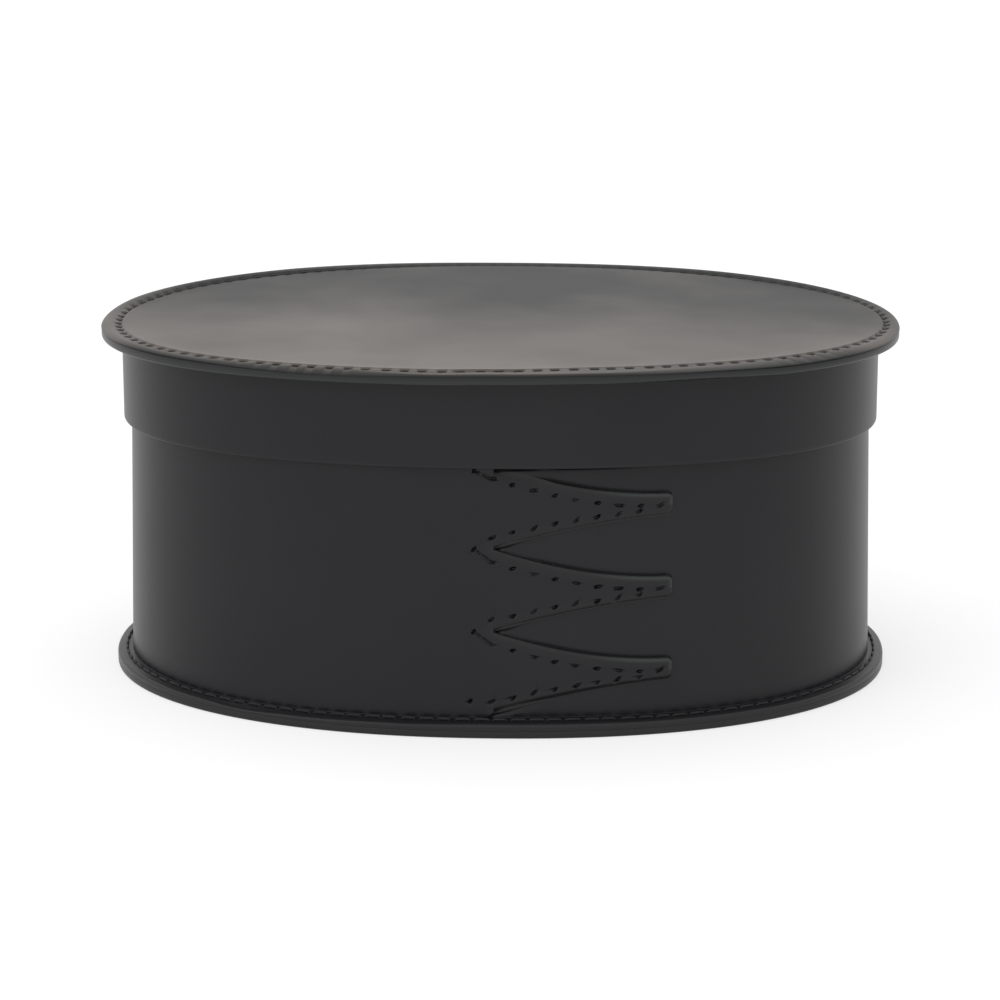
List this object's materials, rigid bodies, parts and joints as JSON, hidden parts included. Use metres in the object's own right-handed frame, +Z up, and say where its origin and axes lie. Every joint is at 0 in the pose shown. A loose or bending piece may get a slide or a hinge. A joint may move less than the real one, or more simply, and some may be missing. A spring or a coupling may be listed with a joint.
{
  "type": "shaker oval box",
  "caption": "Oval leather box with a lapped wall cut into swallowtail fingers, stitched foot flange, and a stitched lid that lifts off.",
  "frame": {"origin": "centre of the oval on the plane that the box stands on", "axes": "+X to the right along the long axis, seen from the front; -Y towards the lapped front; +Z up towards the lid"},
  "size_m": [0.2162, 0.1562, 0.0964],
  "materials": {
    "box_leather": "smooth black vegetable-tanned leather, waxed, with burnished edges",
    "lid_leather": "smooth black leather with a soft cloudy brownish sheen",
    "thread": "waxed black linen thread"
  },
  "bodies": {
    "box": {"base_panel": "box_leather", "body_wall": "box_leather", "base_seam_thread": "thread", "base_seam_under_thread": "thread", "finger_seam_thread": "thread"},
    "lid": {"lid_top": "lid_leather", "lid_band": "box_leather", "lid_seam_thread": "thread", "lid_seam_under_thread": "thread", "band_lap_thread": "thread"}
  },
  "joints": [
    {"name": "lid_lift", "type": "slide", "parent": "box", "child": "lid", "axis": [0, 0, 1], "range_m": [0, 0.12]}
  ]
}
